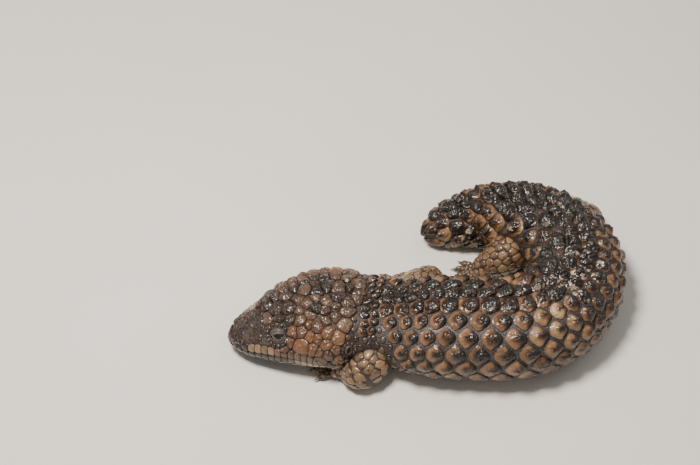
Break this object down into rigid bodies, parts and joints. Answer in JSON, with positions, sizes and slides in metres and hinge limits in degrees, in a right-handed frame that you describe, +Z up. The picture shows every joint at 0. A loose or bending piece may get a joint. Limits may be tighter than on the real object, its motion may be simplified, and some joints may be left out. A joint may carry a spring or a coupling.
{
  "type": "shingleback blue-tongued skink",
  "caption": "Life-size still model of a shingleback, a stump-tailed blue-tongued skink, lying curled with its belly on the floor.",
  "frame": {"origin": "on the floor plane at the flat of the belly under the fore trunk", "axes": "+Z up, the head points towards -X, and the tail is curled round on the +Y side"},
  "size_m": [0.2088, 0.142, 0.0444],
  "materials": {
    "head_shields": "knobbly horn shields, orange-brown and dark brown, with a wet sheen",
    "neck_skin": "fine dark grey-brown granular skin",
    "body_scutes": "thick keeled scales, tan to orange-brown with dark centres, satin to glossy",
    "tail_scutes": "thick keeled scales, dark grey above and orange-brown on the sides",
    "leg_skin": "flat six-sided scales, brown and tan",
    "foot": "small brown scales and dark horn claws",
    "eye": "dark, glossy"
  },
  "bodies": {
    "root": {"head": "head_shields", "neck": "neck_skin", "torso_fore": "body_scutes", "torso_mid": "body_scutes", "torso_hind": "body_scutes", "tail_base": "tail_scutes", "tail_tip": "tail_scutes", "eye_left": "eye", "eye_right": "eye", "front_left_upper": "leg_skin", "front_left_lower": "leg_skin", "front_left_foot": "foot", "front_right_upper": "leg_skin", "front_right_lower": "leg_skin", "front_right_foot": "foot", "hind_left_upper": "leg_skin", "hind_left_lower": "leg_skin", "hind_left_foot": "foot", "hind_right_upper": "leg_skin", "hind_right_lower": "leg_skin", "hind_right_foot": "foot"}
  },
  "joints": []
}
